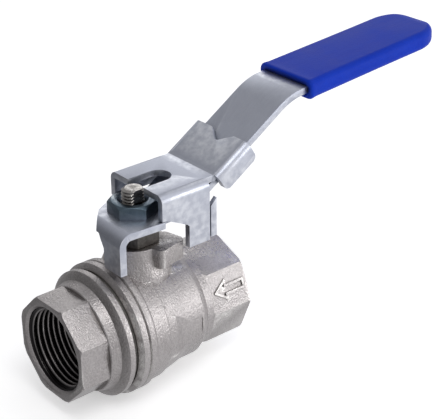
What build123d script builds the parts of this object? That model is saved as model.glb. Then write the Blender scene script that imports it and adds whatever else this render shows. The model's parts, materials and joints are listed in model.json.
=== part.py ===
from build123d import *
import os
from math import cos, radians, sin, sqrt, tan

os.makedirs("parts", exist_ok=True)

# Three-quarter inch quarter-turn ball valve with a sliding lever lock, in millimetres.
# Origin: centre of the ball. +X runs down the pipe to the outlet, +Z up the stem.

# Cutting shapes run this far past what they cut
over = 1.0

# Pipe ends
inlet_reach = 31.8
outlet_reach = 32.2
end_flats = 31.0
thread_radius = 13.22
inlet_thread_length = 13.6
outlet_thread_length = 14.0
mouth_chamfer = 0.9
cap_turn = -0.8
inlet_octagon_length = 9.6
outlet_octagon_length = 15.4
corner_chamfer = 0.6
edge_break = 0.3
cap_swell = 0.7

# Housing
waterway_radius = 9.5
barrel_radius = 21.0
barrel_wall = 3.7
throat_radius = 18.0
flange_radius = 20.0
flange_length = 4.0
joint_face = -14.3
gasket_thickness = 0.6
gasket_width = 1.6
spigot_length = 6.5
cavity_radius = 15.6

# Ball and seats
ball_radius = 14.8
ball_clearance = 0.05
seat_radius = 13.4
seat_bore = 9.9
seat_overlap = 2.4
seat_depth = 5.0

# Stem tower
neck_radius = 9.0
neck_top = 26.6
neck_root = 11.0
neck_root_rise = 5.6
stem_radius = 3.5
running_clearance = 0.08
stem_flats = 5.2
stem_flange_radius = 5.6
stem_flange_bottom = 15.4
stem_flange_height = 2.0
tang_thickness = 4.0
tang_width = 9.0
tang_bottom = 11.3
slot_clearance = 0.15
washer_thickness = 0.7
washer_gap = 0.05
ring_height = 1.3
ring_depth = 0.8
land_height = 2.0
packing_radius = 6.2
packing_height = 2.6
follower_height = 1.2
gland_flats = 14.0
gland_head = 4.4

# Stop boss on the tower
boss_height = 6.0
boss_inner = 4.0
boss_outer = 12.5
boss_width = 11.1
boss_shift = 3.2
boss_angle = -77.0
boss_corner = 1.8

# Lever
sheet = 2.2
plate_top = 35.8
plate_half = 12.4
plate_shoulder = 2.4
leg_face = 13.6
leg_near = -11.2
leg_far = -1.0
leg_bottom = 22.8
leg_waist = -3.3
leg_waist_drop = 2.6
leg_waist_length = 4.0
leg_waist_curve = 1.5
cut_back = -7.4
cut_side = 7.2
bar_half = 9.8
bend_radius = 3.0
slope = 32.0
slope_start = 13.0
slope_end = 54.3
grip_bend_radius = 20.0
window_start = 10.5
window_length = 9.0
window_half = 4.5

# Grip
grip_start = 61.0
grip_end = 124.0
grip_wall = 2.2
grip_corner = 2.3
grip_tilt = 4.5

# Stem nut
nut_flats = 13.5
nut_height = 4.0
nut_turn = 22.0
nut_corner_drop = 0.9
nut_dish_radius = 4.7
nut_dish_depth = 0.9
stem_stand_out = 7.5

# Lock slide
slide_half = 12.5
slide_sheet = 2.0
slide_gap = 0.15
slide_front = 1.2
bridge_top = 44.2
wall_bottom = 36.1
wall_back = 19.1
fold_radius = 2.5
slot_half = 3.95
slot_end = 13.6
leg_inner = 11.2
slide_leg_bottom = 24.3
arch_drop = 3.8
lip_width = 3.6
lip_set_in = 1.1
lip_gap = 0.2
lip_groove = 1.4
lip_skin = 0.7
lip_top = 37.0
lip_slant = 4.0
wing_start = 0.2
wing_end = 14.4
wing_depth = 7.0
wing_corner = 2.0
notch_depth = 3.5
notch_left = 5.6
notch_right = -7.4
notch_bottom = -0.9

# Flow arrow
arrow_length = 12.0
arrow_height = 7.0
arrow_shaft = 3.4
arrow_head = 5.0
arrow_line = 0.75
arrow_relief = 0.5
arrow_centre = 24.8

# Side flat on the barrel
side_flat = 17.75
side_flat_start = 1.0
side_flat_end = 11.5

# Planes and places worked out from the sizes above
octagon_corner = end_flats / 2 / cos(radians(22.5))
octagon_in_circle = end_flats / 2 + mouth_chamfer
across_x = Plane.YZ
cap_face = joint_face - gasket_thickness
flange_start = cap_face - flange_length
inlet_octagon_end = -inlet_reach + inlet_octagon_length
outlet_octagon_start = outlet_reach - outlet_octagon_length
spigot_radius = barrel_radius - barrel_wall
spigot_end = cap_face + spigot_length
seat_front = sqrt(ball_radius ** 2 - seat_bore ** 2) - seat_overlap
seat_back = seat_front + seat_depth
stem_hole = stem_radius + running_clearance
flange_top = stem_flange_bottom + stem_flange_height
washer_bottom = flange_top + washer_gap
land_bottom = washer_bottom + washer_thickness
land_top = land_bottom + land_height
packing_top = land_top + packing_height
follower_top = packing_top + follower_height
stem_top = plate_top + stem_stand_out
nut_corner = nut_flats / sqrt(3)
nut_top = plate_top + nut_height
plate_middle = plate_top - sheet / 2
slope_rise = (slope_end - slope_start) * tan(radians(slope))
grip_middle = plate_middle + slope_rise
grip_half = bar_half + grip_wall
grip_thickness = sheet + 2 * grip_wall
bar_end = grip_end - grip_half
grip_way = (cos(radians(grip_tilt)), 0, sin(radians(grip_tilt)))
grip_up = (-sin(radians(grip_tilt)), 0, cos(radians(grip_tilt)))
grip_tip_rise = (grip_end - slope_end) * tan(radians(grip_tilt))
lever_top = grip_middle + grip_tip_rise + grip_thickness
slide_offset = sheet / 2 + slide_gap + slide_sheet
slope_shift = slide_offset / cos(radians(slope))
crease_x = slope_start + (bridge_top - plate_middle - slope_shift) / tan(radians(slope))
slide_inner = slide_half - slide_sheet


def chamfered_octagon(start, length, turn):
    """Octagonal end with its outer corners turned back."""
    plane = across_x.offset(start)
    with BuildPart() as octagon:
        with BuildSketch(plane):
            RegularPolygon(radius=octagon_corner, side_count=8, rotation=turn)
        extrude(amount=length)
    return octagon.part


def turned(points):
    """Solid of revolution about X from (x, radius) points."""
    with BuildPart() as solid:
        with BuildSketch(Plane.XY):
            with BuildLine():
                Polyline(*points, close=True)
            make_face()
        revolve(axis=Axis.X)
    return solid.part


def turned_up(points):
    """Solid of revolution about Z from (radius, z) points."""
    with BuildPart() as solid:
        with BuildSketch(Plane.XZ):
            with BuildLine():
                Polyline(*points, close=True)
            make_face()
        revolve(axis=Axis.Z)
    return solid.part


def ring_up(inner, outer, bottom, top):
    """Plain ring about Z."""
    return turned_up([(inner, bottom), (outer, bottom), (outer, top), (inner, top)])


# Body: barrel, octagonal outlet, stem tower and stop boss in one casting
barrel_points = [
    (joint_face, 0),
    (joint_face, barrel_radius - 1.6),
    (joint_face + 1.2, barrel_radius),
    (joint_face + 3.2, barrel_radius),
    (joint_face + 3.6, barrel_radius - 0.5),
    (joint_face + 4.0, barrel_radius),
    (-8.4, barrel_radius),
    (-7.6, barrel_radius - 0.7),
    (-2.6, barrel_radius - 1.0),
    (-2.2, barrel_radius - 1.4),
    (3.0, throat_radius + 0.7),
    (6.0, throat_radius),
    (outlet_octagon_start - 4.6, throat_radius),
    (outlet_octagon_start - 3.0, throat_radius - 0.8),
    (outlet_octagon_start - 2.0, octagon_in_circle),
    (outlet_octagon_start + 0.5, octagon_in_circle),
    (outlet_octagon_start + 0.5, 0),
]
corner_cone = [
    (outlet_octagon_start - 1, 0),
    (outlet_octagon_start - 1, octagon_in_circle - 0.6),
    (outlet_octagon_start + 1.6, octagon_corner + 0.2),
    (outlet_reach - corner_chamfer, octagon_corner + 0.2),
    (outlet_reach, octagon_corner - corner_chamfer + 0.2),
    (outlet_reach, 0),
]
with BuildPart() as body:
    add(turned(barrel_points))
    add(chamfered_octagon(outlet_octagon_start - 1, outlet_octagon_length + 1, 0) & turned(corner_cone))
    add(turned_up([(0, cavity_radius), (neck_root, cavity_radius), (neck_root, neck_top - 2 * neck_root_rise + 2),
                   (neck_radius + 0.6, neck_top - neck_root_rise), (neck_radius, neck_top - neck_root_rise + 2),
                   (neck_radius, neck_top), (0, neck_top)]))
    boss_plane = Plane(origin=(0, 0, neck_top), x_dir=(cos(radians(boss_angle)), sin(radians(boss_angle)), 0))
    with BuildSketch(boss_plane):
        with Locations(((boss_inner + boss_outer) / 2, boss_shift)):
            RectangleRounded(boss_outer - boss_inner, boss_width, boss_corner)
    extrude(amount=-boss_height)
    with Locations((side_flat_start / 2 + side_flat_end / 2, -side_flat - 5, 0)):
        Box(side_flat_end - side_flat_start, 10, 2 * barrel_radius, mode=Mode.SUBTRACT)
    # Inside: cap thread, ball chamber, seat pocket, waterway and outlet thread
    add(turned([(joint_face - over, 0), (joint_face - over, spigot_radius), (spigot_end + 0.4, spigot_radius),
                (spigot_end + 0.4, cavity_radius), (seat_front - 0.6, cavity_radius),
                (seat_front - 0.6, seat_radius), (seat_back, seat_radius),
                (seat_back, waterway_radius), (outlet_reach - outlet_thread_length, waterway_radius),
                (outlet_reach - outlet_thread_length, thread_radius), (outlet_reach - mouth_chamfer, thread_radius),
                (outlet_reach + 0.1, thread_radius + mouth_chamfer), (outlet_reach + 0.1, 0)]),
        mode=Mode.SUBTRACT)
    # Stem bore with its stepped pockets
    add(turned_up([(0, 0), (stem_flange_radius + 0.2, 0), (stem_flange_radius + 0.2, land_bottom),
                   (stem_hole, land_bottom), (stem_hole, land_top), (packing_radius, land_top),
                   (packing_radius, neck_top + 0.1), (0, neck_top + 0.1)]),
        mode=Mode.SUBTRACT)
    # Raised outline flow arrow on the outlet flat, pointing to the inlet
    arrow_normal = (0, -cos(radians(22.5)), sin(radians(22.5)))
    flat_distance = end_flats / 2 - 0.1
    arrow_plane = Plane(
        origin=(arrow_centre, arrow_normal[1] * flat_distance, arrow_normal[2] * flat_distance),
        x_dir=(1, 0, 0), z_dir=arrow_normal)
    with BuildSketch(arrow_plane):
        with BuildLine():
            Polyline((-arrow_length / 2, 0), (-arrow_length / 2 + arrow_head, arrow_height / 2),
                     (-arrow_length / 2 + arrow_head, arrow_shaft / 2), (arrow_length / 2, arrow_shaft / 2),
                     (arrow_length / 2, -arrow_shaft / 2), (-arrow_length / 2 + arrow_head, -arrow_shaft / 2),
                     (-arrow_length / 2 + arrow_head, -arrow_height / 2), close=True)
        make_face()
        offset(amount=-arrow_line, kind=Kind.INTERSECTION, mode=Mode.SUBTRACT)
    extrude(amount=arrow_relief + 0.1)
body.part.label = "body"
export_step(body.part, "parts/body.step")

# End cap: octagonal inlet, round flange and the threaded spigot that holds the inlet seat
cap_shell = [
    (-inlet_reach, 0),
    (-inlet_reach, octagon_corner - corner_chamfer),
    (-inlet_reach + corner_chamfer, octagon_corner),
    (inlet_octagon_end, octagon_corner),
    (inlet_octagon_end, 0),
]
cap_turning = [
    (inlet_octagon_end - edge_break, 0),
    (inlet_octagon_end - edge_break, end_flats / 2 - edge_break),
    (inlet_octagon_end, end_flats / 2 - edge_break),
    (inlet_octagon_end, octagon_corner - edge_break),
    (inlet_octagon_end + edge_break, octagon_corner),
    (flange_start, octagon_corner + cap_swell),
    (flange_start + 0.5, flange_radius - 1.2),
    (flange_start + 1.4, flange_radius),
    (cap_face - 0.8, flange_radius),
    (cap_face, flange_radius - 0.8),
    (cap_face, spigot_radius),
    (spigot_end, spigot_radius),
    (spigot_end, 0),
]
with BuildPart() as end_cap:
    add(chamfered_octagon(-inlet_reach, inlet_octagon_length, 22.5 + cap_turn) & turned(cap_shell))
    add(turned(cap_turning))
    add(turned([(-inlet_reach - 0.1, 0), (-inlet_reach - 0.1, thread_radius + mouth_chamfer),
                (-inlet_reach + mouth_chamfer, thread_radius),
                (-inlet_reach + inlet_thread_length, thread_radius),
                (-inlet_reach + inlet_thread_length, waterway_radius), (-seat_back, waterway_radius),
                (-seat_back, seat_radius), (spigot_end + 0.1, seat_radius), (spigot_end + 0.1, 0)]),
        mode=Mode.SUBTRACT)
end_cap.part.label = "end_cap"
export_step(end_cap.part, "parts/end_cap.step")

# Flat gasket clamped between the cap flange and the body
with BuildPart() as body_gasket:
    with BuildSketch(across_x.offset(cap_face)):
        Circle(spigot_radius + gasket_width)
        Circle(spigot_radius, mode=Mode.SUBTRACT)
    extrude(amount=gasket_thickness)
body_gasket.part.label = "body_gasket"
export_step(body_gasket.part, "parts/body_gasket.step")

# Seats: one ring each side of the ball, dished to its sphere
with BuildPart() as inlet_seat:
    with BuildSketch(across_x.offset(-seat_back)):
        Circle(seat_radius)
        Circle(seat_bore, mode=Mode.SUBTRACT)
    extrude(amount=seat_back - seat_front)
    Sphere(ball_radius + ball_clearance, mode=Mode.SUBTRACT)
inlet_seat.part.label = "inlet_seat"
export_step(inlet_seat.part, "parts/inlet_seat.step")

with BuildPart() as outlet_seat:
    mirror(inlet_seat.part, about=Plane.YZ)
outlet_seat.part.label = "outlet_seat"
export_step(outlet_seat.part, "parts/outlet_seat.step")

# Ball: bored through, with the stem slot milled across its top
with BuildPart() as ball:
    Sphere(ball_radius)
    Cylinder(waterway_radius, 3 * ball_radius, rotation=(0, 90, 0), mode=Mode.SUBTRACT)
    with Locations((0, 0, tang_bottom - 2 * slot_clearance + ball_radius / 2)):
        Box(tang_thickness + 2 * slot_clearance, 2 * ball_radius, ball_radius, mode=Mode.SUBTRACT)
ball.part.label = "ball"
export_step(ball.part, "parts/ball.step")

# Stem: tang, blow-out shoulder, sealing land, and a flatted threaded top
groove_bottom = land_bottom + (land_height - ring_height) / 2
groove_top = groove_bottom + ring_height
with BuildPart() as stem:
    add(turned_up([(0, stem_flange_bottom), (stem_flange_radius, stem_flange_bottom),
                   (stem_flange_radius, flange_top), (stem_radius, flange_top),
                   (stem_radius, groove_bottom), (stem_radius - ring_depth, groove_bottom),
                   (stem_radius - ring_depth, groove_top), (stem_radius, groove_top),
                   (stem_radius, stem_top - 0.6), (stem_radius - 0.6, stem_top), (0, stem_top)]))
    with BuildSketch(Plane.XY.offset(tang_bottom)):
        Rectangle(tang_thickness, tang_width)
    extrude(amount=stem_flange_bottom - tang_bottom)
    with BuildSketch(Plane.XY.offset(plate_top - sheet)):
        with Locations((0, stem_flats / 2 + stem_radius), (0, -stem_flats / 2 - stem_radius)):
            Rectangle(4 * stem_radius, 2 * stem_radius)
    extrude(amount=stem_top, mode=Mode.SUBTRACT)
stem.part.label = "stem"
export_step(stem.part, "parts/stem.step")

# Rings and washers stacked on the stem
stem_rings = {
    "stem_oring": (stem_radius - ring_depth, stem_radius + running_clearance / 2, groove_bottom, groove_top),
    "thrust_washer": (stem_radius, stem_flange_radius, washer_bottom, land_bottom - washer_gap),
    "stem_packing": (stem_hole, packing_radius, land_top, packing_top),
    "gland_ring": (stem_hole, packing_radius, packing_top, follower_top),
}
for ring_name, ring_size in stem_rings.items():
    ring = ring_up(*ring_size)
    ring.label = ring_name
    export_step(ring, f"parts/{ring_name}.step")

# Gland nut: screwed into the tower, squeezes the packing round the stem
with BuildPart() as gland_nut:
    add(ring_up(stem_hole, packing_radius, follower_top, neck_top))
    with BuildSketch(Plane.XY.offset(neck_top)):
        RegularPolygon(radius=gland_flats / sqrt(3), side_count=6)
        Circle(stem_hole, mode=Mode.SUBTRACT)
    extrude(amount=gland_head)
gland_nut.part.label = "gland_nut"
export_step(gland_nut.part, "parts/gland_nut.step")

# Lever: one bent strip, with its nut plate, front leg, rising bar and flat end
with BuildPart() as lever:
    with BuildSketch(Plane.XZ):
        with BuildLine() as lever_line:
            FilletPolyline(
                (-leg_face + sheet / 2, leg_bottom), (-leg_face + sheet / 2, plate_middle),
                (slope_start, plate_middle), (slope_end, grip_middle), (grip_end, grip_middle + grip_tip_rise),
                radius=[bend_radius, bend_radius, grip_bend_radius])
        trace(lever_line.line, line_width=sheet)
    extrude(amount=plate_half + over, both=True)
    with BuildSketch(Plane.XY):
        with BuildLine():
            Polyline((-leg_face - over, leg_near), (plate_shoulder, -plate_half), (plate_shoulder, -bar_half),
                     (bar_end, -bar_half), (bar_end, bar_half), (plate_shoulder, bar_half),
                     (plate_shoulder, plate_half), (cut_back, cut_side), (-leg_face - over, leg_far), close=True)
        make_face()
        with Locations((bar_end, 0)):
            Circle(bar_half)
    extrude(amount=lever_top, mode=Mode.INTERSECT)
    with BuildSketch(Plane.XY):
        Circle(stem_radius)
        with Locations((0, stem_flats / 2 + stem_radius), (0, -stem_flats / 2 - stem_radius)):
            Rectangle(4 * stem_radius, 2 * stem_radius, mode=Mode.SUBTRACT)
    extrude(amount=grip_middle, mode=Mode.SUBTRACT)
    with BuildSketch(Plane.XY):
        with Locations((window_start + window_length / 2, 0)):
            SlotOverall(window_length, 2 * window_half - 0.1)
    extrude(amount=grip_middle - sheet, mode=Mode.SUBTRACT)
    # Leg narrowed on its far side below the bend
    waist_top = plate_top - leg_waist_drop
    with BuildSketch(Plane.YZ.offset(-leg_face - over)):
        with BuildLine():
            FilletPolyline((plate_half, waist_top), (leg_far, waist_top),
                           (leg_waist, waist_top - leg_waist_length), (leg_waist, leg_bottom - over),
                           radius=leg_waist_curve)
            Polyline((leg_waist, leg_bottom - over), (plate_half, leg_bottom - over), (plate_half, waist_top))
        make_face()
    extrude(amount=sheet + 1.5 * over, mode=Mode.SUBTRACT)
lever.part.label = "lever"
export_step(lever.part, "parts/lever.step")

# Grip: soft sleeve dipped over the flat end of the lever
grip_plane = Plane(origin=(slope_end, 0, grip_middle), x_dir=grip_way, z_dir=grip_up)
with BuildPart() as lever_grip:
    with BuildSketch(grip_plane.offset(-grip_thickness / 2)):
        with Locations(((grip_start + grip_end) / 2 - slope_end, 0)):
            SlotOverall(grip_end - grip_start, 2 * grip_half)
        with Locations((grip_start - slope_end + grip_half / 2, 0)):
            Rectangle(grip_half, 2 * grip_half)
    extrude(amount=grip_thickness)
    fillet(lever_grip.edges().filter_by(grip_plane).filter_by(lambda edge: edge.center().X > grip_start + 1),
           grip_corner)
    add(lever.part, mode=Mode.SUBTRACT)
lever_grip.part.label = "lever_grip"
export_step(lever_grip.part, "parts/lever_grip.step")

# Stem nut with a dished top
with BuildPart() as stem_nut:
    with BuildSketch(Plane.XY.offset(plate_top)):
        RegularPolygon(radius=nut_corner, side_count=6, rotation=nut_turn)
    extrude(amount=nut_height)
    add(turned_up([(0, plate_top), (nut_corner + 0.1, plate_top), (nut_corner + 0.1, nut_top - nut_corner_drop),
                   (nut_flats / 2 - 0.2, nut_top), (0, nut_top)]),
        mode=Mode.INTERSECT)
    add(turned_up([(0, plate_top), (stem_radius, plate_top), (stem_radius, nut_top - nut_dish_depth),
                   (nut_dish_radius, nut_top), (0, nut_top)]),
        mode=Mode.SUBTRACT)
stem_nut.part.label = "stem_nut"
export_step(stem_nut.part, "parts/stem_nut.step")


def channel(plane, length, depth):
    """Folded channel: flat web on the plane's local top, two walls hanging down."""
    with BuildPart() as folded:
        with BuildSketch(plane):
            with BuildLine():
                FilletPolyline((-slide_half, -depth), (-slide_half, 0), (slide_half, 0), (slide_half, -depth),
                               radius=fold_radius)
                Line((slide_half, -depth), (-slide_half, -depth))
            make_face()
            with BuildLine(mode=Mode.PRIVATE) as hollow:
                FilletPolyline((-slide_inner, -depth), (-slide_inner, -slide_sheet),
                               (slide_inner, -slide_sheet), (slide_inner, -depth), radius=fold_radius - slide_sheet)
                Line((slide_inner, -depth), (-slide_inner, -depth))
            add(make_face(hollow.edges(), mode=Mode.PRIVATE), mode=Mode.SUBTRACT)
        extrude(amount=length)
    return folded.part


# Lock slide: bridge over the nut, one locking leg, and a sloped hood wrapped round the bar
slope_way = (cos(radians(slope)), 0, sin(radians(slope)))
hood_plane = Plane(origin=(crease_x, 0, bridge_top), x_dir=(0, 1, 0), z_dir=slope_way)
bridge_plane = Plane(origin=(slide_front, 0, bridge_top), x_dir=(0, 1, 0), z_dir=(1, 0, 0))
with BuildPart() as lock_slide:
    add(channel(bridge_plane, wall_back - slide_front, bridge_top - slide_leg_bottom))
    # Walls trimmed to the arch beside the leg, and to a short wall on the far side
    with BuildSketch(Plane.XZ):
        with BuildLine():
            Polyline((slide_front - over, wall_bottom), (plate_shoulder + 0.4, wall_bottom),
                     (leg_inner - 0.8, wall_bottom - arch_drop), (leg_inner, wall_bottom - arch_drop - 0.8),
                     (leg_inner, slide_leg_bottom - over), (slide_front - over, slide_leg_bottom - over), close=True)
        make_face()
    extrude(amount=slide_half + over, both=True, mode=Mode.SUBTRACT)
    with Locations((wall_back / 2, slide_half, (wall_bottom + slide_leg_bottom) / 2 - 1)):
        Box(wall_back + 4, 3 * slide_sheet, wall_bottom - slide_leg_bottom + 2, mode=Mode.SUBTRACT)
    # Stiffening lip down the back of the leg, creased where it leaves the wall and slanted at its top
    with BuildSketch(Plane.XZ.offset(slide_half - lip_set_in)):
        with BuildLine():
            Polyline((wall_back - 0.2, slide_leg_bottom), (wall_back + lip_width, slide_leg_bottom),
                     (wall_back + lip_width, lip_top), (wall_back - 0.2, lip_top - lip_slant), close=True)
        make_face()
    extrude(amount=bar_half + lip_gap - slide_half + lip_set_in)
    with BuildSketch(Plane.XZ.offset(slide_half)):
        with Locations((wall_back + lip_groove / 2, (bridge_top + slide_leg_bottom) / 2)):
            Rectangle(lip_groove, bridge_top - slide_leg_bottom + 2 * over)
    extrude(amount=bar_half + lip_gap + lip_skin - slide_half, mode=Mode.SUBTRACT)
    # Web carried on to the crease, then the sloped hood with its two wings
    web_half = slide_half - fold_radius + 0.6
    with Locations(((wall_back + crease_x) / 2 - 0.5, 0, bridge_top - slide_sheet / 2)):
        Box(crease_x - wall_back + 1, 2 * web_half, slide_sheet)
    with BuildSketch(hood_plane.offset(-1)):
        with Locations((0, -slide_sheet / 2)):
            Rectangle(2 * web_half, slide_sheet)
    extrude(amount=wing_start + 2)
    add(channel(hood_plane.offset(wing_start), wing_end - wing_start, wing_depth))
    # Rounded wing corners and a notch in the hood's upper edge
    wing_side = Plane(origin=(crease_x, 0, bridge_top), x_dir=slope_way, z_dir=(0, -1, 0))
    with BuildSketch(wing_side):
        for corner_x, inward in ((wing_start, 1), (wing_end, -1)):
            with BuildLine():
                corner_start = (corner_x + inward * wing_corner, -wing_depth)
                corner_side = (corner_x, -wing_depth + wing_corner)
                RadiusArc(corner_start, corner_side, inward * wing_corner)
                Line(corner_side, (corner_x - inward, -wing_depth + wing_corner))
                Line((corner_x - inward, -wing_depth + wing_corner), (corner_x - inward, -wing_depth - 1))
                Line((corner_x - inward, -wing_depth - 1), (corner_x + inward * wing_corner, -wing_depth - 1))
                Line((corner_x + inward * wing_corner, -wing_depth - 1), corner_start)
            make_face()
    extrude(amount=slide_half + over, both=True, mode=Mode.SUBTRACT)
    slope_up = (-sin(radians(slope)), 0, cos(radians(slope)))
    hood_top = Plane(origin=(crease_x, 0, bridge_top), x_dir=slope_way, z_dir=slope_up)
    with BuildSketch(hood_top.offset(over)):
        with BuildLine():
            Polyline((wing_end + over, notch_left), (wing_end - notch_depth, notch_bottom + 0.5),
                     (wing_end - notch_depth, notch_bottom - 0.5), (wing_end + over, notch_right), close=True)
        make_face()
    extrude(amount=-slide_sheet - 2 * over, mode=Mode.SUBTRACT)
    # Slot for the stem end
    with BuildSketch(Plane.XY.offset(bridge_top - slide_sheet - over)):
        with Locations((slot_end - slot_half, 0)):
            Circle(slot_half)
        with Locations(((slot_end - slot_half) / 2, 0)):
            Rectangle(slot_end - slot_half, 2 * slot_half)
    extrude(amount=slide_sheet + 2 * over, mode=Mode.SUBTRACT)
lock_slide.part.label = "lock_slide"
export_step(lock_slide.part, "parts/lock_slide.step")
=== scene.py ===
import json
import math

import bpy
import numpy as np
from mathutils import Matrix, Vector


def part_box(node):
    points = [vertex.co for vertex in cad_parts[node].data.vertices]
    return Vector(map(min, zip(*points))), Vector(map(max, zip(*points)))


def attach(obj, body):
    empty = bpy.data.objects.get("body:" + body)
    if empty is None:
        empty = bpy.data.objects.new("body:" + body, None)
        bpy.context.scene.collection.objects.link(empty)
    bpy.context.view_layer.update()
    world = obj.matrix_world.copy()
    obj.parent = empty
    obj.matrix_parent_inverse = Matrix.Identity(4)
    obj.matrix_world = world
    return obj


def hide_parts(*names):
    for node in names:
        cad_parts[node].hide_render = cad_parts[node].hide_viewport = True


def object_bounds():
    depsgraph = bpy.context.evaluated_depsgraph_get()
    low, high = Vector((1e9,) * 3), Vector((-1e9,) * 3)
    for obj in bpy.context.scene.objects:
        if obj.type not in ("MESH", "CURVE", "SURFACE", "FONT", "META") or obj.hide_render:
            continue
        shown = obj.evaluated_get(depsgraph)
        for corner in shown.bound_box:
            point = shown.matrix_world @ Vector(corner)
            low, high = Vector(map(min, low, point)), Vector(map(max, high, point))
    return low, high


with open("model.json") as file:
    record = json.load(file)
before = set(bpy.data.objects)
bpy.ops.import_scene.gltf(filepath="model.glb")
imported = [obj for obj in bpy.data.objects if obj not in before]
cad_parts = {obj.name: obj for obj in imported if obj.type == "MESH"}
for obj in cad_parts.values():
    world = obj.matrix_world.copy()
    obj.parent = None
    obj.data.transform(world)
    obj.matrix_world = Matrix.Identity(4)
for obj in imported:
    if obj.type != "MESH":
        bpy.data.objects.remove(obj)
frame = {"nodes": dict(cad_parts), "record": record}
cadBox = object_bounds()
mm = 0.001
print("frame loaded")


# shared shader groups


def newGroup(name, inputs, outputs):
    # empty shader group with float or vector inputs and float outputs, and its two end nodes
    group = bpy.data.node_groups.new(name, "ShaderNodeTree")
    for label, kind, value in inputs:
        socket = group.interface.new_socket(name=label, in_out="INPUT", socket_type=kind)
        socket.default_value = value
    for label in outputs:
        group.interface.new_socket(name=label, in_out="OUTPUT", socket_type="NodeSocketFloat")
    start = group.nodes.new("NodeGroupInput")
    end = group.nodes.new("NodeGroupOutput")
    return group, start, end


def link(tree, source, target):
    tree.links.new(source, target)


def mathNode(tree, operation, first, second=None, clamp=False):
    # one Math node; each operand is a socket or a number
    node = tree.nodes.new("ShaderNodeMath")
    node.operation = operation
    node.use_clamp = clamp
    for slot, operand in enumerate((first, second)):
        if operand is None:
            continue
        if isinstance(operand, (int, float)):
            node.inputs[slot].default_value = operand
        else:
            link(tree, operand, node.inputs[slot])
    return node.outputs[0]


def rangeNode(tree, value, low, high, toLow=0.0, toHigh=1.0):
    # Map Range from a socket, to 0..1 unless told otherwise
    node = tree.nodes.new("ShaderNodeMapRange")
    link(tree, value, node.inputs["Value"])
    for label, limit in (("From Min", low), ("From Max", high), ("To Min", toLow), ("To Max", toHigh)):
        node.inputs[label].default_value = limit
    return node.outputs["Result"]


def noiseNode(tree, scale, detail, stretch=None):
    # noise on Object coordinates, perhaps stretched along an axis; scale and stretch are values or sockets
    place = tree.nodes.new("ShaderNodeTexCoord")
    mapping = tree.nodes.new("ShaderNodeMapping")
    link(tree, place.outputs["Object"], mapping.inputs["Vector"])
    if stretch is not None:
        if isinstance(stretch, (tuple, list)):
            mapping.inputs["Scale"].default_value = stretch
        else:
            link(tree, stretch, mapping.inputs["Scale"])
    noise = tree.nodes.new("ShaderNodeTexNoise")
    noise.inputs["Detail"].default_value = detail
    link(tree, mapping.outputs["Vector"], noise.inputs["Vector"])
    if isinstance(scale, (int, float)):
        noise.inputs["Scale"].default_value = scale
    else:
        link(tree, scale, noise.inputs["Scale"])
    return noise.outputs["Fac"]


def buildSurfaceGrain():
    # fine speckle and directional brushing
    group, start, end = newGroup(
        "surfaceGrain",
        [("Speckle Scale", "NodeSocketFloat", 3000.0), ("Brush Scale", "NodeSocketFloat", 400.0),
         ("Brush Stretch", "NodeSocketVector", (1.0, 1.0, 1.0))],
        ["Speckle", "Brush"])
    speckle = noiseNode(group, start.outputs["Speckle Scale"], 4.0)
    brush = noiseNode(group, start.outputs["Brush Scale"], 6.0, start.outputs["Brush Stretch"])
    link(group, rangeNode(group, speckle, 0.32, 0.68), end.inputs["Speckle"])
    link(group, rangeNode(group, brush, 0.3, 0.7), end.inputs["Brush"])
    return group


shadeSamples = 8  # rays per point for the shade where pieces meet


def buildEdgeRubAndShade():
    # bright rub on outer edges, dark settled grime in inner corners and soft painted shade where pieces meet
    # and under overhangs
    group, start, end = newGroup(
        "edgeRubAndShade",
        [("Breakup Scale", "NodeSocketFloat", 500.0), ("Rub", "NodeSocketFloat", 1.0),
         ("Grime", "NodeSocketFloat", 1.0), ("Reach", "NodeSocketFloat", 0.0015)],
        ["Edge", "Corner", "Shade"])
    shape = group.nodes.new("ShaderNodeNewGeometry")
    breakup = noiseNode(group, start.outputs["Breakup Scale"], 5.0)
    uneven = rangeNode(group, breakup, 0.35, 0.65, 0.25, 1.0)
    edge = rangeNode(group, shape.outputs["Pointiness"], 0.52, 0.62)
    corner = rangeNode(group, shape.outputs["Pointiness"], 0.48, 0.40)
    brokenEdge = mathNode(group, "MULTIPLY", edge, uneven)
    brokenCorner = mathNode(group, "MULTIPLY", corner, uneven)
    rubbed = mathNode(group, "MULTIPLY", brokenEdge, start.outputs["Rub"], clamp=True)
    settled = mathNode(group, "MULTIPLY", brokenCorner, start.outputs["Grime"], clamp=True)
    # painted shade: ambient occlusion within the reach darkens the colour where pieces meet and under
    # overhangs
    nearby = group.nodes.new("ShaderNodeAmbientOcclusion")
    nearby.samples = shadeSamples
    link(group, start.outputs["Reach"], nearby.inputs["Distance"])
    link(group, rangeNode(group, nearby.outputs["AO"], 0.85, 0.30), end.inputs["Shade"])
    link(group, rubbed, end.inputs["Edge"])
    link(group, settled, end.inputs["Corner"])
    return group


def buildHandling():
    # broad cloudy tone and sparse hairline scratches
    group, start, end = newGroup(
        "handlingMarks",
        [("Cloud Scale", "NodeSocketFloat", 60.0), ("Scratch Scale", "NodeSocketFloat", 250.0)],
        ["Cloud", "Scratch"])
    cloud = noiseNode(group, start.outputs["Cloud Scale"], 3.0)
    warp = noiseNode(group, start.outputs["Scratch Scale"], 2.0, (0.25, 3.0, 1.5))
    ridge = mathNode(group, "ABSOLUTE", mathNode(group, "SUBTRACT", warp, 0.5))
    link(group, rangeNode(group, cloud, 0.3, 0.7), end.inputs["Cloud"])
    link(group, rangeNode(group, ridge, 0.0, 0.012, 1.0, 0.0), end.inputs["Scratch"])
    return group


surfaceGrain = buildSurfaceGrain()
edgeRubAndShade = buildEdgeRubAndShade()
handlingMarks = buildHandling()
print("shader groups built")


def placeGroup(tree, group, **values):
    # a shared group in a material; an underscore in a value's name stands for the space in its socket's name
    node = tree.nodes.new("ShaderNodeGroup")
    node.node_tree = group
    for label, value in values.items():
        node.inputs[label.replace("_", " ")].default_value = value
    return node


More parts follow.
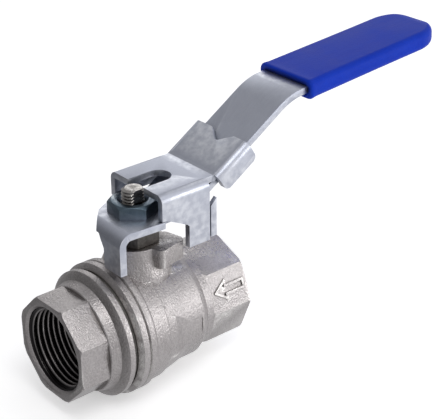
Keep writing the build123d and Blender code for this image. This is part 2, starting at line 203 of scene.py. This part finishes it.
def mixColour(tree, mask, first, second, share=1.0):
    # colour mix; first and second are sockets or rgb tuples, share limits the mask
    node = tree.nodes.new("ShaderNodeMix")
    node.data_type = "RGBA"
    link(tree, mathNode(tree, "MULTIPLY", mask, share, clamp=True), node.inputs[0])
    for socket, value in ((node.inputs[6], first), (node.inputs[7], second)):
        if isinstance(value, tuple):
            socket.default_value = (*value, 1.0)
        else:
            link(tree, value, socket)
    return node.outputs[2]


finishShares = dict(corner=0.85, edge=0.8, cornerRough=0.2, threadRoot=0.97)
rootTone = (0.012, 0.011, 0.012)  # oil and shadow in the roots of a thread
reliefDepth = 0.0001  # bump distance in metres
plainSpecular = 0.5


def axisDistance(tree):
    # distance from the pipe axis, the length of (0, y, z)
    place = tree.nodes.new("ShaderNodeTexCoord")
    across = tree.nodes.new("ShaderNodeVectorMath")
    across.operation = "MULTIPLY"
    across.inputs[1].default_value = (0.0, 1.0, 1.0)
    link(tree, place.outputs["Object"], across.inputs[0])
    distance = tree.nodes.new("ShaderNodeVectorMath")
    distance.operation = "LENGTH"
    link(tree, across.outputs["Vector"], distance.inputs[0])
    return distance.outputs["Value"]


def finishMaterial(name, look):
    # one worn finish: two tones, cloud, grain, rubbed edges, grime in corners, painted shade where pieces
    # meet, uneven gloss and fine relief
    material = bpy.data.materials.new(name)
    material.use_nodes = True
    tree = material.node_tree
    shader = tree.nodes["Principled BSDF"]
    grain = placeGroup(
        tree, surfaceGrain, Speckle_Scale=look["speckleScale"], Brush_Scale=look["brushScale"],
        Brush_Stretch=look["brushStretch"])
    rub = placeGroup(
        tree, edgeRubAndShade, Breakup_Scale=look["breakup"], Rub=look["rub"], Grime=look["grime"],
        Reach=look["reach"])
    marks = placeGroup(
        tree, handlingMarks, Cloud_Scale=look["cloudScale"], Scratch_Scale=look["scratchScale"])
    colour = mixColour(tree, marks.outputs["Cloud"], look["tone"], look["secondTone"])
    # the grime tone serves both the grime in inner corners and the painted shade where pieces meet
    for mask, tone, share in (
            (grain.outputs["Speckle"], look["speckleTone"], look["speckleShare"]),
            (grain.outputs["Brush"], look["brushTone"], look["brushShare"]),
            (rub.outputs["Corner"], look["grimeTone"], finishShares["corner"]),
            (rub.outputs["Edge"], look["rubTone"], finishShares["edge"]),
            (rub.outputs["Shade"], look["grimeTone"], look["shade"])):
        colour = mixColour(tree, mask, colour, tone, share)
    # painted shadow and oil in the thread roots: darker towards the root radius
    if "rootRadius" in look:  # thread roots hold the dark
        root = rangeNode(tree, axisDistance(tree), look["crestRadius"], look["rootRadius"])
        colour = mixColour(tree, root, colour, rootTone, finishShares["threadRoot"])
    link(tree, colour, shader.inputs["Base Color"])
    gloss = rangeNode(tree, marks.outputs["Cloud"], 0.0, 1.0, look["roughLow"], look["roughHigh"])
    for operation, output, weight in (("ADD", grain.outputs["Brush"], look["brushRough"]),
                                      ("ADD", rub.outputs["Corner"], finishShares["cornerRough"]),
                                      ("SUBTRACT", rub.outputs["Edge"], look["rubPolish"])):
        weighted = mathNode(tree, "MULTIPLY", output, weight)
        gloss = mathNode(tree, operation, gloss, weighted, clamp=(operation == "SUBTRACT"))
    link(tree, gloss, shader.inputs["Roughness"])
    relief = mathNode(tree, "MULTIPLY", grain.outputs["Speckle"], look["speckleRelief"])
    for operation, output, weight in (("ADD", grain.outputs["Brush"], look["brushRelief"]),
                                      ("SUBTRACT", marks.outputs["Scratch"], look["scratchRelief"])):
        relief = mathNode(tree, operation, relief, mathNode(tree, "MULTIPLY", output, weight))
    bump = tree.nodes.new("ShaderNodeBump")
    bump.inputs["Strength"].default_value = look["bump"]
    bump.inputs["Distance"].default_value = reliefDepth
    link(tree, relief, bump.inputs["Height"])
    link(tree, bump.outputs["Normal"], shader.inputs["Normal"])
    shader.inputs["Metallic"].default_value = look["metal"]
    shader.inputs["Specular IOR Level"].default_value = look.get("specular", plainSpecular)
    return material


def variant(base, **changes):
    # a finish that differs from another only in the values given
    return {**base, **changes}


# the grime tone darkens inner corners as grime and, with reach and shade, paints the shade where pieces meet
nickelCast = dict(
    tone=(0.44, 0.412, 0.41), secondTone=(0.55, 0.52, 0.52), speckleTone=(0.20, 0.185, 0.18),
    brushTone=(0.75, 0.73, 0.70), grimeTone=(0.16, 0.145, 0.13), rubTone=(0.92, 0.90, 0.87),
    speckleShare=0.42, brushShare=0.16, speckleScale=1900.0, brushScale=420.0, brushStretch=(5.0, 1.0, 1.0),
    breakup=420.0, rub=0.9, grime=1.0, cloudScale=70.0, scratchScale=300.0, roughLow=0.22, roughHigh=0.32,
    brushRough=0.08, rubPolish=0.08, speckleRelief=1.0, brushRelief=0.2, scratchRelief=0.1, bump=0.8,
    metal=1.0, reach=0.004, shade=0.85)
zincSheet = dict(
    tone=(0.47, 0.49, 0.565), secondTone=(0.51, 0.535, 0.61), speckleTone=(0.38, 0.40, 0.48),
    brushTone=(0.64, 0.67, 0.75), grimeTone=(0.20, 0.22, 0.26), rubTone=(0.93, 0.95, 1.0),
    speckleShare=0.28, brushShare=0.22, speckleScale=3200.0, brushScale=260.0, brushStretch=(0.5, 6.0, 2.0),
    breakup=500.0, rub=0.8, grime=0.7, cloudScale=55.0, scratchScale=220.0, roughLow=0.38, roughHigh=0.43,
    brushRough=0.05, rubPolish=0.10, speckleRelief=0.25, brushRelief=0.3, scratchRelief=0.25, bump=0.35,
    metal=1.0, reach=0.0035, shade=0.9)
finishes = dict(
    nickelPlate=nickelCast,
    zincSheet=zincSheet,
    zincNut=variant(
        zincSheet, tone=(0.085, 0.12, 0.155), secondTone=(0.12, 0.165, 0.20), speckleTone=(0.05, 0.075, 0.10),
        brushTone=(0.20, 0.26, 0.31), rubTone=(0.80, 0.85, 0.88), brushShare=0.25, roughLow=0.22,
        roughHigh=0.36),
    threadedNickel=variant(
        nickelCast, speckleShare=0.1, speckleRelief=0.1, roughLow=0.16, roughHigh=0.26, crestRadius=0.01212,
        rootRadius=0.01262),
    gasketGrey=variant(
        nickelCast, tone=(0.10, 0.092, 0.086), secondTone=(0.14, 0.13, 0.12), speckleTone=(0.06, 0.055, 0.05),
        brushTone=(0.18, 0.17, 0.16), rubTone=(0.25, 0.24, 0.22), grimeTone=(0.03, 0.028, 0.025), metal=0.0,
        roughLow=0.5, roughHigh=0.65),
    stemSteel=variant(
        nickelCast, tone=(0.34, 0.325, 0.31), secondTone=(0.46, 0.44, 0.42), roughLow=0.18, roughHigh=0.30,
        brushStretch=(1.0, 1.0, 9.0), speckleRelief=0.2, grimeTone=(0.06, 0.055, 0.05)),
    # near-black gland nut: its own dark finish, made darker still as painted shade standing in for the shadow
    # under the lever plate
    glandDarkAndShade=variant(
        nickelCast, tone=(0.055, 0.05, 0.045), secondTone=(0.09, 0.085, 0.08), speckleTone=(0.02, 0.02, 0.02),
        brushTone=(0.14, 0.13, 0.12), rubTone=(0.35, 0.33, 0.31), roughLow=0.4, roughHigh=0.55),
    ballChrome=variant(
        nickelCast, tone=(0.80, 0.81, 0.83), secondTone=(0.86, 0.87, 0.89), speckleShare=0.05,
        speckleRelief=0.03, brushRelief=0.08, roughLow=0.06, roughHigh=0.12, brushRough=0.02, rubPolish=0.0),
    turnedBrass=variant(
        nickelCast, tone=(0.72, 0.52, 0.22), secondTone=(0.80, 0.60, 0.28), speckleTone=(0.5, 0.34, 0.13),
        brushTone=(0.88, 0.70, 0.38), rubTone=(0.95, 0.80, 0.5), grimeTone=(0.2, 0.12, 0.05)),
    sealWhite=variant(
        nickelCast, tone=(0.80, 0.80, 0.77), secondTone=(0.86, 0.86, 0.84), speckleTone=(0.7, 0.7, 0.67),
        brushTone=(0.9, 0.9, 0.88), rubTone=(0.93, 0.93, 0.92), grimeTone=(0.5, 0.48, 0.44), metal=0.0,
        roughLow=0.42, roughHigh=0.55, bump=0.3),
    sealBlack=variant(
        nickelCast, tone=(0.018, 0.018, 0.018), secondTone=(0.03, 0.03, 0.03), speckleTone=(0.01, 0.01, 0.01),
        brushTone=(0.05, 0.05, 0.05), rubTone=(0.07, 0.07, 0.07), grimeTone=(0.01, 0.01, 0.01), metal=0.0,
        roughLow=0.5, roughHigh=0.65, bump=0.4),
    blueVinyl=variant(
        zincSheet, tone=(0.003, 0.026, 0.36), secondTone=(0.005, 0.034, 0.43),
        speckleTone=(0.003, 0.018, 0.28), brushTone=(0.02, 0.07, 0.48), grimeTone=(0.003, 0.012, 0.12),
        rubTone=(0.05, 0.12, 0.55), speckleShare=0.25, brushShare=0.18, metal=0.0, roughLow=0.34,
        roughHigh=0.46, brushRough=0.04, speckleScale=1500.0, brushScale=160.0, brushStretch=(0.6, 2.0, 2.0),
        speckleRelief=0.5, brushRelief=0.8, scratchRelief=0.15, bump=0.30, specular=0.07),
)
materials = {name: finishMaterial(name, values) for name, values in finishes.items()}
slotFinish = dict(
    body="nickelPlate", end_cap="nickelPlate", body_gasket="gasketGrey", inlet_seat="sealWhite",
    outlet_seat="sealWhite", ball="ballChrome", stem="stemSteel", stem_oring="sealBlack",
    thrust_washer="sealWhite", stem_packing="sealWhite", gland_ring="turnedBrass", gland_nut="glandDarkAndShade",
    lever="zincSheet", lever_grip="blueVinyl", stem_nut="zincNut", lock_slide="zincSheet")
for nodeName, finishName in slotFinish.items():
    cadObject = frame["nodes"][nodeName]
    cadObject.data.materials.clear()
    cadObject.data.materials.append(materials[finishName])
print("finishes placed on", len(slotFinish), "nodes")


# mesh helpers


weldDistance = 2e-6  # metres
flatAngle = 1.0  # degrees between neighbours that count as one flat
fullTurn = 2 * np.pi


def meshObject(name, points, faces, finishName):
    # smooth object at the origin from a vertex array and a list of faces
    mesh = bpy.data.meshes.new(name)
    mesh.from_pydata(points.reshape(-1, 3), [], faces)
    mesh.validate()
    mesh.update()
    mesh.shade_smooth()
    piece = bpy.data.objects.new(name, mesh)
    bpy.context.scene.collection.objects.link(piece)
    mesh.materials.append(materials[finishName])
    return piece


def gridFaces(rows, columns, closedRows=False):
    # quads of a rows by columns grid; its columns join round, and its rows too where closedRows is set
    rowCount = rows if closedRows else rows - 1
    row, column = np.meshgrid(np.arange(rowCount), np.arange(columns), indexing="ij")
    nextRow = (row + 1) % rows
    nextColumn = (column + 1) % columns
    quads = [row * columns + column, row * columns + nextColumn,
             nextRow * columns + nextColumn, nextRow * columns + column]
    return np.stack(quads, axis=-1).reshape(-1, 4)


def endFaces(rows, columns):
    # one face round the first row and one round the last
    count = rows * columns
    return list(range(columns)), list(range(count - columns, count))


def softEdges(nodeName, edge):
    # copy of a CAD piece with its doubles merged, flats joined and edges rounded
    source = frame["nodes"][nodeName]
    mesh = source.data.copy()
    piece = bpy.data.objects.new(edge["name"], mesh)
    bpy.context.scene.collection.objects.link(piece)
    piece.matrix_world = Matrix.Identity(4)
    weld = piece.modifiers.new("weld", "WELD")
    weld.merge_threshold = weldDistance
    flats = piece.modifiers.new("flats", "DECIMATE")
    flats.decimate_type = "DISSOLVE"
    flats.angle_limit = math.radians(flatAngle)
    rounding = piece.modifiers.new("roundedEdges", "BEVEL")
    rounding.width = edge["width"] * mm
    rounding.segments = edge["segments"]
    rounding.limit_method = "ANGLE"
    rounding.angle_limit = math.radians(edge["angle"])
    rounding.miter_outer = "MITER_ARC"
    rounding.use_clamp_overlap = True
    depsgraph = bpy.context.evaluated_depsgraph_get()
    finished = bpy.data.meshes.new_from_object(piece.evaluated_get(depsgraph))
    piece.modifiers.clear()
    piece.data = finished
    finished.set_sharp_from_angle(angle=math.radians(edge["smooth"]))
    finished.materials.clear()
    finished.materials.append(materials[slotFinish[nodeName]])
    return piece


bodies = frame["record"]["behaviour"]["bodies"]
bodyOf = {node: bodyName for bodyName, nodes in bodies.items() for node in nodes}


def standsFor(piece, nodeName):
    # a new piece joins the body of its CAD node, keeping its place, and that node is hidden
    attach(piece, bodyOf[nodeName])
    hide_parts(nodeName)


# width of the rounding in mm, angles in degrees
roundedPieces = dict(
    body=dict(name="valveBody", width=0.17, segments=3, angle=22, smooth=40),
    end_cap=dict(name="inletCap", width=0.2, segments=3, angle=22, smooth=40),
    gland_nut=dict(name="glandNut", width=0.25, segments=2, angle=30, smooth=40),
    lever=dict(name="leverStrip", width=0.28, segments=3, angle=30, smooth=40),
    lock_slide=dict(name="lockSlide", width=0.28, segments=3, angle=30, smooth=40),
    stem_nut=dict(name="stemNut", width=0.25, segments=3, angle=24, smooth=40),
)
for nodeName, edge in roundedPieces.items():
    rounded = softEdges(nodeName, edge)
    standsFor(rounded, nodeName)
    print("rounded", nodeName, len(rounded.data.polygons), "faces")


# pipe threads in both mouths

pipeThread = dict(
    pitch=1.814, majorRadius=13.21, depth=1.16, crestFlat=0.18, flankCurve=0.35, wallGap=0.02,
    anglesRound=160, samplesPerPitch=14, runOut=1.2, mouthChamfer=0.9, endGap=0.1)


def threadLiner(name, mouthX, inward, length):
    # Closed sleeve from mouthX, inward along X by length. Its inside is radius = major - depth * ridge, where
    # ridge is a rounded triangle wave of (distance from the mouth / pitch - inward * angle / full turn),
    # faded in over the run-out. The factor inward, 1 or -1, makes both ends right-handed. Two plain rings
    # close the outside.
    t = pipeThread
    along = np.linspace(0.0, length, int(length / t["pitch"] * t["samplesPerPitch"]))
    angle = np.linspace(0.0, fullTurn, t["anglesRound"], endpoint=False)
    distance, turn = np.meshgrid(along, angle, indexing="ij")
    phase = np.mod(distance / t["pitch"] - inward * turn / fullTurn, 1.0)
    wave = 1.0 - np.abs(2.0 * phase - 1.0)
    straight = np.clip((wave - t["crestFlat"] / 2) / (1.0 - t["crestFlat"]), 0.0, 1.0)
    curved = straight * straight * (3.0 - 2.0 * straight)
    ridge = curved * t["flankCurve"] + straight * (1.0 - t["flankCurve"])
    fade = np.clip(distance / t["runOut"], 0.0, 1.0)
    radius = t["majorRadius"] - t["depth"] * ridge * fade
    outside = np.full_like(radius[:2], t["majorRadius"] + t["wallGap"])
    radius = np.concatenate([radius, outside])
    distance = np.concatenate([distance, distance[-1:], distance[:1]])
    turn = np.concatenate([turn, turn[:2]])
    x = mouthX + inward * distance
    points = np.stack([x, radius * np.cos(turn), radius * np.sin(turn)], axis=-1) * mm
    faces = gridFaces(len(radius), t["anglesRound"], closedRows=True)
    if inward < 0:
        faces = faces[:, ::-1]
    return meshObject(name, points, faces.tolist(), "threadedNickel")


threadedEnds = dict(
    inletThread=dict(node="end_cap", mount="inlet_thread", mouth=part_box("end_cap")[0][0]),
    outletThread=dict(node="body", mount="outlet_thread", mouth=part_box("body")[1][0]))
mounts = {mount["name"]: mount for mount in frame["record"]["mounts"]}
for name, end in threadedEnds.items():
    mount = mounts[end["mount"]]
    inward = -mount["axis"][0]
    firstX = end["mouth"] / mm + inward * pipeThread["mouthChamfer"]
    liner = threadLiner(name, firstX, inward, mount["dims"]["length_mm"] - pipeThread["endGap"])
    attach(liner, bodyOf[end["node"]])
print("pipe threads cut")


# stem with its rolled thread and two flats

# heights above the ball's centre, in mm
stemShape = dict(
    tangThickness=4.0, tangWidth=9.0, tangBottom=11.3, pastTang=9.0, tangRows=3, flangeRadius=5.6,
    flangeBottom=15.4, flangeTop=17.4, radius=3.5, grooveRadius=2.7, flatHalf=2.6, flatStart=33.6,
    flatStep=0.01, threadStart=35.9, threadFade=0.6, pitch=1.0, threadDepth=0.55, tipChamfer=0.6, tipGap=0.02,
    cupRadius=1.3, cupBevel=0.3, cupDepth=0.5, centre=0.02, anglesRound=144, samplesPerPitch=14,
    sharpAngle=35)


def flatReach(half, across):
    # distance from the axis to a flat that is half a thickness away, across = the sine or cosine towards it
    return half / np.maximum(np.abs(across), 1e-6)


def stemPiece():
    # Star-shaped section about Z: radius(angle, height) is the least of the turned radius, the thread wave
    # radius - depth * (1 - triangle wave), and the distance to the flats or to the tang's sides.
    s = stemShape
    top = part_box("stem")[1][2] / mm
    ringBottom, ringTop = (corner[2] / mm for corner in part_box("stem_oring"))
    angle = np.linspace(0.0, fullTurn, s["anglesRound"], endpoint=False)
    turned = [
        (s["tangBottom"], s["centre"]), (s["tangBottom"], s["pastTang"]), (s["flangeBottom"], s["pastTang"]),
        (s["flangeBottom"], s["flangeRadius"]), (s["flangeTop"], s["flangeRadius"]),
        (s["flangeTop"], s["radius"]), (ringBottom, s["radius"]), (ringBottom, s["grooveRadius"]),
        (ringTop, s["grooveRadius"]), (ringTop, s["radius"]),
        (s["flatStart"] - s["flatStep"], s["radius"]), (s["flatStart"], s["radius"])]
    tip = [
        (top, s["radius"] - s["tipChamfer"]), (top, s["cupRadius"] + s["cupBevel"]), (top, s["cupRadius"]),
        (top - s["cupDepth"], s["centre"])]
    threaded = np.arange(s["threadStart"], top - s["tipGap"], s["pitch"] / s["samplesPerPitch"])
    shank = [(height, s["radius"]) for height in threaded]
    heights, outline = np.array(turned + shank + tip).T
    z, turn = np.meshgrid(heights, angle, indexing="ij")
    r = np.repeat(outline[:, None], len(angle), axis=1)
    broadSides = flatReach(s["tangThickness"] / 2, np.cos(turn))
    narrowSides = flatReach(s["tangWidth"] / 2, np.sin(turn))
    tang = slice(0, s["tangRows"])
    r[tang] = np.minimum(r, np.minimum(broadSides, narrowSides))[tang]
    phase = np.mod((z - s["threadStart"]) / s["pitch"] - turn / fullTurn, 1.0)
    wave = 1.0 - np.abs(2.0 * phase - 1.0)
    grown = np.clip((z - s["threadStart"]) / s["threadFade"], 0.0, 1.0)
    belowTip = np.clip((top - z) / s["tipChamfer"], 0.0, 1.0)
    thread = s["radius"] - s["threadDepth"] * (1.0 - wave) * grown - s["tipChamfer"] * (1.0 - belowTip)
    r = np.where(z > s["threadStart"], np.minimum(r, thread), r)
    r = np.where(z >= s["flatStart"], np.minimum(r, flatReach(s["flatHalf"], np.sin(turn))), r)
    points = np.stack([r * np.cos(turn), r * np.sin(turn), z], axis=-1) * mm
    faces = gridFaces(len(heights), len(angle)).tolist()
    bottomCap, topCap = endFaces(len(heights), len(angle))
    piece = meshObject("threadedStem", points, faces + [bottomCap[::-1], topCap], "stemSteel")
    piece.data.set_sharp_from_angle(angle=math.radians(s["sharpAngle"]))
    return piece


standsFor(stemPiece(), "stem")
print("stem threaded")


# dipped grip

# mm along the straight end of the bar, which starts at the bend and rises by the tilt in degrees
gripShape = dict(
    start=61.0, end=124.0, halfHeight=3.3, cornerRadius=2.3, tipRound=5.6, bendX=54.3, bendZ=60.507, tilt=4.5,
    mouthLip=0.18, lipPlace=0.9, lipLength=1.3, mouthRoll=0.6, waist=0.06, lipHeightShare=0.6,
    rollHeightShare=0.8, waistHeightShare=0.4, cavityDepth=3.0, cavityMouth=0.25, cavityHalf=9.75,
    cavityHeight=1.06, cavityPower=0.25, centre=0.02, straightFrom=4.0, straightTo=0.5, stepsEach=70,
    mouthSteps=(0.0, 0.06, 0.15, 0.3, 0.5, 0.75, 1.05, 1.4, 1.8, 2.3, 3.0), pointsRound=160)


def quarterRound(distance, radius):
    # height of a quarter circle, 0 to 1, at a distance in from where it starts
    share = np.clip(distance / radius, 0.0, 1.0)
    return np.sqrt(1.0 - (1.0 - share) ** 2)


def squared(wave, power):
    # a sine or cosine squared off towards -1 and 1: its sign times its size to a low power
    return np.sign(wave) * np.abs(wave) ** power


def gripPiece():
    # Rounded rectangle y = +-(a - r) + r cos, z = +-(b - r) + r sin, carried along the tilted end of the bar.
    # a and b roll in at the mouth behind a low lip, and thin a little halfway along. At the tip a follows a
    # half circle and b a quarter ellipse. The cavity for the bar is a superellipse that goes in a short way.
    g = gripShape
    low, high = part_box("lever_grip")
    halfWidth = (high[1] - low[1]) / 2 / mm
    turn = np.linspace(0.0, fullTurn, g["pointsRound"], endpoint=False)
    mouth = g["start"] + np.array(g["mouthSteps"])
    tipStart = g["end"] - halfWidth
    straight = np.linspace(g["start"] + g["straightFrom"], tipStart - g["straightTo"], g["stepsEach"])
    tip = tipStart + halfWidth * np.sin(np.linspace(0.0, np.pi / 2, g["stepsEach"]))
    along = np.concatenate([mouth, straight, tip])
    fromMouth = along - g["start"]
    fromTip = g["end"] - along
    lip = g["mouthLip"] * np.exp(-((fromMouth - g["lipPlace"]) / g["lipLength"]) ** 2)
    rolled = g["mouthRoll"] * (1.0 - quarterRound(fromMouth, g["lipPlace"]))
    waist = g["waist"] * np.sin(np.pi * fromMouth / (g["end"] - g["start"])) ** 2
    a = halfWidth - g["mouthLip"] + lip - rolled - waist
    b = (g["halfHeight"] + (lip - g["mouthLip"]) * g["lipHeightShare"] - rolled * g["rollHeightShare"]
         - waist * g["waistHeightShare"])
    a = a * quarterRound(fromTip, halfWidth)
    b = b * quarterRound(fromTip, g["tipRound"])
    corner = np.minimum(g["cornerRadius"], np.minimum(a, b))
    shellY = np.sign(np.cos(turn)) * (a - corner)[:, None] + corner[:, None] * np.cos(turn)
    shellZ = np.sign(np.sin(turn)) * (b - corner)[:, None] + corner[:, None] * np.sin(turn)
    shell = np.stack([np.repeat(along[:, None], len(turn), axis=1), shellY, shellZ], axis=-1)
    cavityY = squared(np.cos(turn), g["cavityPower"]) * g["cavityHalf"]
    cavityZ = squared(np.sin(turn), g["cavityPower"]) * g["cavityHeight"]
    cavityRings = ((g["cavityDepth"], g["centre"]), (g["cavityDepth"], 1.0), (g["cavityMouth"], 1.0))
    cavity = [np.stack([np.full_like(turn, g["start"] + depth), cavityY * share, cavityZ * share], axis=-1)
              for depth, share in cavityRings]
    points = np.concatenate([np.stack(cavity), shell])
    points[-1, :, 1:] = shell[-2, :, 1:] * g["centre"]
    tilt = math.radians(g["tilt"])
    forward, lift = points[..., 0] - g["bendX"], points[..., 2].copy()
    points[..., 0] = g["bendX"] + forward * math.cos(tilt) - lift * math.sin(tilt)
    points[..., 2] = g["bendZ"] + forward * math.sin(tilt) + lift * math.cos(tilt)
    faces = gridFaces(len(points), len(turn))[:, ::-1].tolist()
    cavityEnd, tipEnd = endFaces(len(points), len(turn))
    return meshObject("blueGrip", points * mm, faces + [cavityEnd, tipEnd[::-1]], "blueVinyl")


standsFor(gripPiece(), "lever_grip")
print("grip dipped")


# floor, light and camera


floorLook = dict(
    half=6.0, gap=0.0002, tone=(0.90, 0.90, 0.90), secondTone=(0.93, 0.93, 0.93), grainScale=900.0,
    grainDetail=3.0, rough=0.9, glow=0.42)


def paleFloor():
    # flat square just under the lowest point
    mesh = bpy.data.meshes.new("paleFloor")
    half = floorLook["half"]
    level = cadBox[0][2] - floorLook["gap"]
    mesh.from_pydata([(-half, -half, level), (half, -half, level), (half, half, level), (-half, half, level)],
                     [], [(0, 1, 2, 3)])
    floor = bpy.data.objects.new("paleFloor", mesh)
    bpy.context.scene.collection.objects.link(floor)
    material = bpy.data.materials.new("palePaper")
    material.use_nodes = True
    tree = material.node_tree
    paper = noiseNode(tree, floorLook["grainScale"], floorLook["grainDetail"])
    shader = tree.nodes["Principled BSDF"]
    paperColour = mixColour(tree, paper, floorLook["tone"], floorLook["secondTone"])
    link(tree, paperColour, shader.inputs["Base Color"])
    shader.inputs["Roughness"].default_value = floorLook["rough"]
    shader.inputs["Emission Color"].default_value = (1.0, 1.0, 1.0, 1.0)
    shader.inputs["Emission Strength"].default_value = floorLook["glow"]
    mesh.materials.append(material)
    floor.visible_glossy = False  # plated metal mirrors the surround, not the paper


# metres and watts
lamps = dict(
    keyBox=dict(place=(-0.10, -0.30, 0.56), aim=(0.0, 0.0, 0.02), size=(0.25, 0.25), power=0.9),
    fillBox=dict(place=(0.38, -0.46, 0.12), aim=(0.025, 0.0, 0.0), size=(0.22, 0.22), power=0.62),
    rimBox=dict(place=(0.50, 0.58, 0.38), aim=(0.03, 0.0, 0.03), size=(0.55, 0.32), power=0.55))


def softbox(name, place, aim, size, power):
    # white rectangular lamp that faces its aim
    data = bpy.data.lights.new(name, "AREA")
    data.shape = "RECTANGLE"
    data.size, data.size_y = size
    data.energy = power
    lamp = bpy.data.objects.new(name, data)
    lamp.location = place
    lamp.rotation_mode = "QUATERNION"
    lamp.rotation_quaternion = (Vector(aim) - Vector(place)).to_track_quat("-Z", "Y")
    bpy.context.scene.collection.objects.link(lamp)


# position from the dim side (0) to the bright side (1), and brightness there
skyStops = ((0.06, 0.16), (0.265, 0.42), (0.55, 0.50), (0.72, 0.78), (1.00, 0.88))
skyWay = (0.87, -0.50, 0.0)  # towards the bright side
skyBlue = 1.02


def studioSky():
    # soft surround that falls from bright at the front right to dim at the back left
    world = bpy.data.worlds.new("studioSky")
    bpy.context.scene.world = world
    world.use_nodes = True
    tree = world.node_tree
    place = tree.nodes.new("ShaderNodeTexCoord")
    toward = tree.nodes.new("ShaderNodeVectorMath")
    toward.operation = "DOT_PRODUCT"
    toward.inputs[1].default_value = skyWay
    link(tree, place.outputs["Generated"], toward.inputs[0])
    half = mathNode(tree, "MULTIPLY", toward.outputs["Value"], 0.5)
    share = mathNode(tree, "ADD", half, 0.5)  # from -1..1 to 0..1
    ramp = tree.nodes.new("ShaderNodeValToRGB")
    link(tree, share, ramp.inputs["Fac"])
    stops = ramp.color_ramp.elements
    for _ in skyStops[2:]:
        stops.new(0.5)
    for stop, (position, level) in zip(stops, skyStops):
        stop.position = position
        stop.color = (level, level, level * skyBlue, 1.0)
    link(tree, ramp.outputs["Color"], tree.nodes["Background"].inputs["Color"])


view = dict(
    azimuth=-40.97, elevation=27.27, distance=0.41338, target=(0.03808, 0.0, 0.020), lens=105.3,
    shiftX=-0.0201, shiftY=0.0203, nearest=0.01)


def placeCamera():
    # looks at the target from a distance; azimuth turns from -Y, elevation rises from the floor
    azimuth, elevation = math.radians(view["azimuth"]), math.radians(view["elevation"])
    back = Vector((math.sin(azimuth) * math.cos(elevation), -math.cos(azimuth) * math.cos(elevation),
                   math.sin(elevation)))
    data = bpy.data.cameras.new("studioCamera")
    data.lens = view["lens"]
    data.shift_x, data.shift_y = view["shiftX"], view["shiftY"]
    data.clip_start = view["nearest"]
    camera = bpy.data.objects.new("studioCamera", data)
    camera.location = Vector(view["target"]) + back * view["distance"]
    camera.rotation_mode = "QUATERNION"
    camera.rotation_quaternion = back.to_track_quat("Z", "Y")
    bpy.context.scene.collection.objects.link(camera)
    bpy.context.scene.camera = camera


paleFloor()
studioSky()
for lampName, lamp in lamps.items():
    softbox(lampName, **lamp)
placeCamera()
bpy.context.scene.view_settings.view_transform = "Standard"
print("studio ready")
